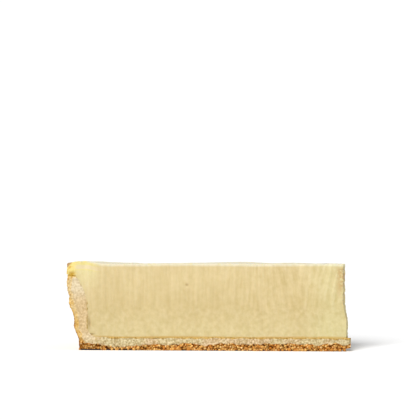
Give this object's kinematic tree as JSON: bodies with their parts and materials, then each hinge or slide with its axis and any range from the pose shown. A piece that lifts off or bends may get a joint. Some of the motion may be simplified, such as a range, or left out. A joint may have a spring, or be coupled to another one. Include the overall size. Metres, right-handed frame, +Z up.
{
  "type": "slice of baked cheesecake",
  "caption": "Wedge of baked cheesecake: a set custard in a crumbly shortcrust shell with a flared wall, cut smooth on both sides, puffed and browned at the rim.",
  "frame": {"origin": "middle of the slice's outline, on the surface that it stands on", "axes": "+X from the rim to the tip along the middle of the slice, +Y across it from the front cut to the back cut, +Z up"},
  "size_m": [0.1294, 0.0686, 0.0409],
  "materials": {
    "crust": "baked shortcrust, dry and crumbly, golden brown outside and pale where it is cut",
    "custard": "set custard, moist and satin, pale yellow with faint knife marks on the cuts and a baked skin on top"
  },
  "bodies": {
    "root": {"crust": "crust", "custard": "custard"}
  },
  "joints": []
}
